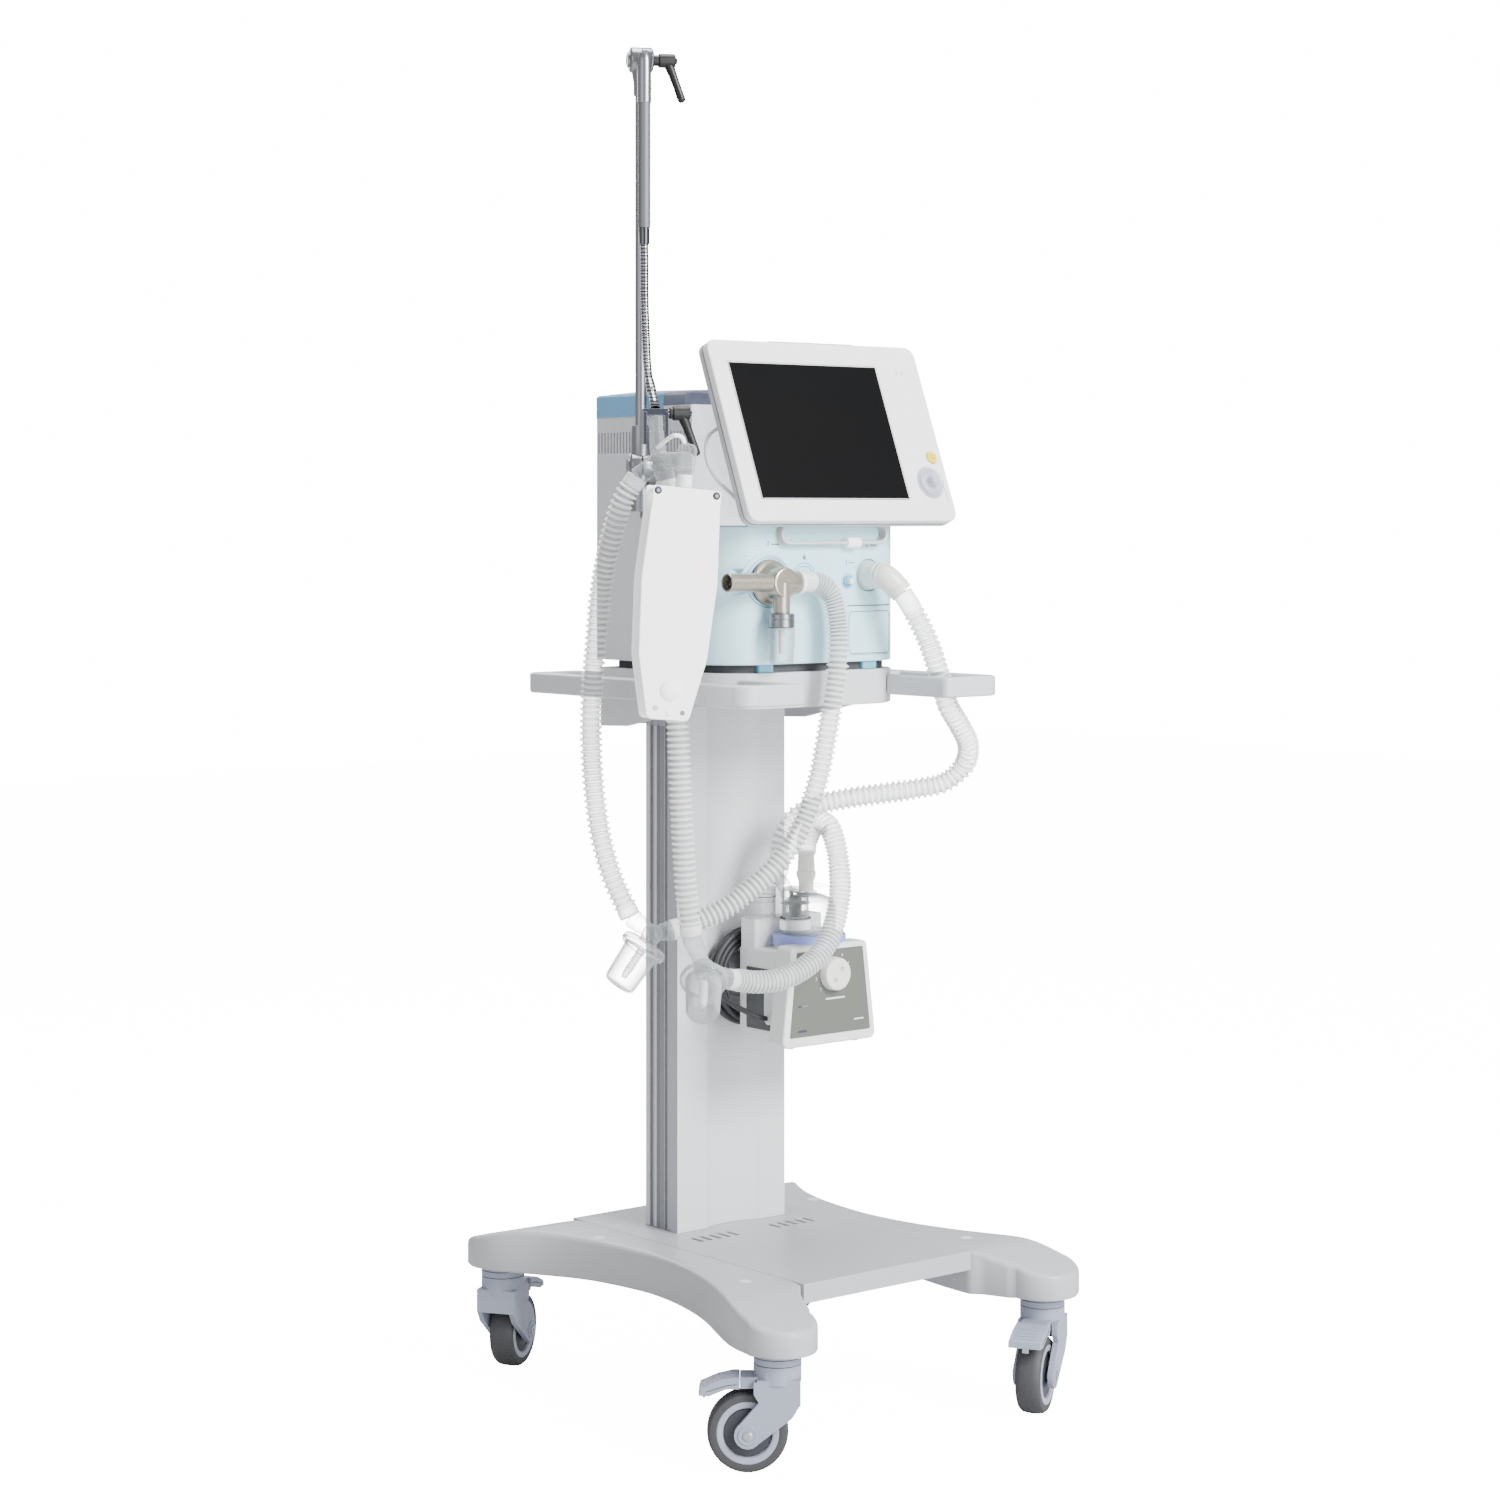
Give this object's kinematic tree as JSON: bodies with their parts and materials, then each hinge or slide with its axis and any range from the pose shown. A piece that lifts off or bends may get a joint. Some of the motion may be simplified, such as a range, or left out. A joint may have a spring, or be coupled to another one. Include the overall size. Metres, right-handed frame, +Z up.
{
  "type": "mechanical ventilator on trolley",
  "caption": "Intensive-care ventilator on a caster trolley with tilting display, folding circuit arm, corrugated breathing circuit, water traps, test lung and heated humidifier.",
  "frame": {"origin": "on the floor, under the centre of the outline box", "axes": "+Z up, -Y is the side the display faces, +X is to the right of someone facing the display"},
  "size_m": [0.6192, 0.696, 1.713],
  "materials": {
    "base_grey": "satin",
    "deck_white": "satin",
    "extrusion": "anodised",
    "cover_white": "satin",
    "tray_grey": "satin",
    "handle_grey": "satin",
    "caster_plastic": "satin",
    "tyre": "matte",
    "side_grey": "satin",
    "cyan": "satin",
    "white": "satin",
    "dark_blue": "satin",
    "inner": "satin",
    "nickel": "satin",
    "clear": "clear",
    "ivory": "gloss",
    "screen": "anti-glare",
    "shell_grey": "satin",
    "knob": "gloss",
    "yellow": "gloss",
    "alloy": "satin",
    "arm_grey": "satin",
    "chrome": "polished",
    "black": "satin",
    "plate": "satin",
    "hose": "translucent",
    "humid": "satin",
    "cord": "matte",
    "cable": "matte"
  },
  "bodies": {
    "trolley": {"base_left_beam": "base_grey", "base_right_beam": "base_grey", "base_deck": "deck_white", "column_extrusion": "extrusion", "column_front_cover": "cover_white", "tray_body": "tray_grey", "push_handle_left": "handle_grey", "push_handle_right": "handle_grey", "unit_chassis_cover": "side_grey", "front_fascia": "cyan", "front_panel_upper": "white", "top_cover": "dark_blue", "blower_module": "inner", "expiratory_valve": "nickel", "expiratory_trap_jar": "clear", "inspiratory_port": "ivory", "monitor_hinge_bracket": "inner", "arm_wall_bracket": "alloy", "expiratory_hose_machine": "hose", "inspiratory_hose_machine": "hose", "humidifier_outlet_hose": "hose", "humidifier_body": "humid", "humidifier_chamber": "clear", "mains_cord_coil": "cord", "mains_cord": "cord", "mains_plug": "cord", "display_cable": "cable"},
    "arm_base": {"arm_base_knuckle": "alloy", "water_trap_expiratory": "clear", "water_trap_inspiratory": "clear", "inspiratory_hose_patient": "hose", "expiratory_hose_patient": "hose"},
    "arm_mast": {"arm_pole": "alloy"},
    "arm_upper": {"arm_upper_tube": "arm_grey", "arm_gooseneck": "chrome", "hose_clamp": "chrome", "patient_y_piece": "clear", "test_lung": "plate"},
    "elbow_lever": {"elbow_clamp_lever": "black"},
    "clamp_lever": {"hose_clamp_lever": "black"},
    "display": {"monitor_bezel": "white", "monitor_screen": "screen", "monitor_back_housing": "shell_grey"},
    "encoder": {"monitor_encoder_knob": "knob"},
    "standby": {"standby_button": "yellow"},
    "door": {"sensor_door": "cyan"},
    "lock_knob": {"valve_lock_knob": "cyan"},
    "heater_knob": {"humidifier_knob": "white"},
    "fork_fl": {"caster_fork_fl": "caster_plastic"},
    "wheel_fl": {"caster_wheel_fl": "tyre"},
    "pedal_fl": {"brake_pedal_fl": "caster_plastic"},
    "fork_fr": {"caster_fork_fr": "caster_plastic"},
    "wheel_fr": {"caster_wheel_fr": "tyre"},
    "pedal_fr": {"brake_pedal_fr": "caster_plastic"},
    "fork_rl": {"caster_fork_rl": "caster_plastic"},
    "wheel_rl": {"caster_wheel_rl": "tyre"},
    "pedal_rl": {"brake_pedal_rl": "caster_plastic"},
    "fork_rr": {"caster_fork_rr": "caster_plastic"},
    "wheel_rr": {"caster_wheel_rr": "tyre"},
    "pedal_rr": {"brake_pedal_rr": "caster_plastic"}
  },
  "joints": [
    {"name": "arm_swivel", "type": "hinge", "parent": "trolley", "child": "arm_base", "pos_m": [-0.18253, 0.03235, 1.158], "axis": [0, 0, 1], "range_deg": [-60, 0]},
    {"name": "mast_tilt", "type": "hinge", "parent": "arm_base", "child": "arm_mast", "pos_m": [-0.18253, 0.03235, 1.186], "axis": [-0.8846, 0.4664, 0], "range_deg": [0, 20]},
    {"name": "elbow", "type": "hinge", "parent": "arm_mast", "child": "arm_upper", "pos_m": [-0.18253, 0.03235, 1.697], "axis": [-0.8846, 0.4664, 0], "range_deg": [0, 30]},
    {"name": "elbow_lever_turn", "type": "hinge", "parent": "arm_upper", "child": "elbow_lever", "pos_m": [-0.18253, 0.03235, 1.697], "axis": [-0.8846, 0.4664, 0], "range_deg": [0, 40]},
    {"name": "clamp_lever_turn", "type": "hinge", "parent": "arm_upper", "child": "clamp_lever", "pos_m": [-0.24053, -0.07265, 1.2485], "axis": [-0.8846, 0.4664, 0], "range_deg": [0, 35]},
    {"name": "display_tilt", "type": "hinge", "parent": "trolley", "child": "display", "pos_m": [-0.00253, -0.03665, 1.275], "axis": [-1, 0, 0], "range_deg": [0, 30]},
    {"name": "encoder_turn", "type": "hinge", "parent": "display", "child": "encoder", "pos_m": [0.16147, -0.13194, 1.1658], "axis": [0, -0.9304, 0.3665], "continuous": true},
    {"name": "standby_press", "type": "slide", "parent": "display", "child": "standby", "axis": [0, 0.9304, -0.3665], "range_m": [0, 0.0015], "stiffness_N_per_m": 300, "springref_m": -0.0005},
    {"name": "door_open", "type": "hinge", "parent": "trolley", "child": "door", "pos_m": [0.12367, -0.09535, 0.977], "axis": [0, 0, 1], "range_deg": [0, 45]},
    {"name": "lock_turn", "type": "hinge", "parent": "trolley", "child": "lock_knob", "pos_m": [-0.03053, -0.10665, 1.045], "axis": [0, -1, 0], "range_deg": [0, 90]},
    {"name": "heat_dial", "type": "hinge", "parent": "trolley", "child": "heater_knob", "pos_m": [0.04747, -0.07095, 0.537], "axis": [0, 1, 0], "range_deg": [0, 270]},
    {"name": "swivel_fl", "type": "hinge", "parent": "trolley", "child": "fork_fl", "pos_m": [-0.22053, -0.28165, 0.12], "axis": [0, 0, 1], "continuous": true},
    {"name": "spin_fl", "type": "hinge", "parent": "fork_fl", "child": "wheel_fl", "pos_m": [-0.24757, -0.25944, 0.048], "axis": [0.6347, 0.7727, 0], "continuous": true},
    {"name": "brake_fl", "type": "hinge", "parent": "fork_fl", "child": "pedal_fl", "pos_m": [-0.25476, -0.25353, 0.1006], "axis": [-0.6347, -0.7727, 0], "range_deg": [0, 10]},
    {"name": "swivel_fr", "type": "hinge", "parent": "trolley", "child": "fork_fr", "pos_m": [0.21547, -0.28165, 0.12], "axis": [0, 0, 1], "continuous": true},
    {"name": "spin_fr", "type": "hinge", "parent": "fork_fr", "child": "wheel_fr", "pos_m": [0.1856, -0.29989, 0.048], "axis": [-0.521, 0.8536, 0], "continuous": true},
    {"name": "brake_fr", "type": "hinge", "parent": "fork_fr", "child": "pedal_fr", "pos_m": [0.17766, -0.30473, 0.1006], "axis": [0.521, -0.8536, 0], "range_deg": [0, 10]},
    {"name": "swivel_rl", "type": "hinge", "parent": "trolley", "child": "fork_rl", "pos_m": [-0.22053, 0.28035, 0.12], "axis": [0, 0, 1], "continuous": true},
    {"name": "spin_rl", "type": "hinge", "parent": "fork_rl", "child": "wheel_rl", "pos_m": [-0.19101, 0.29915, 0.048], "axis": [0.5373, -0.8434, 0], "continuous": true},
    {"name": "brake_rl", "type": "hinge", "parent": "fork_rl", "child": "pedal_rl", "pos_m": [-0.18317, 0.30415, 0.1006], "axis": [-0.5373, 0.8434, 0], "range_deg": [0, 10]},
    {"name": "swivel_rr", "type": "hinge", "parent": "trolley", "child": "fork_rr", "pos_m": [0.21547, 0.28035, 0.12], "axis": [0, 0, 1], "continuous": true},
    {"name": "spin_rr", "type": "hinge", "parent": "fork_rr", "child": "wheel_rr", "pos_m": [0.24792, 0.26724, 0.048], "axis": [-0.3746, -0.9272, 0], "continuous": true},
    {"name": "brake_rr", "type": "hinge", "parent": "fork_rr", "child": "pedal_rr", "pos_m": [0.25655, 0.26375, 0.1006], "axis": [0.3746, 0.9272, 0], "range_deg": [0, 10]}
  ]
}
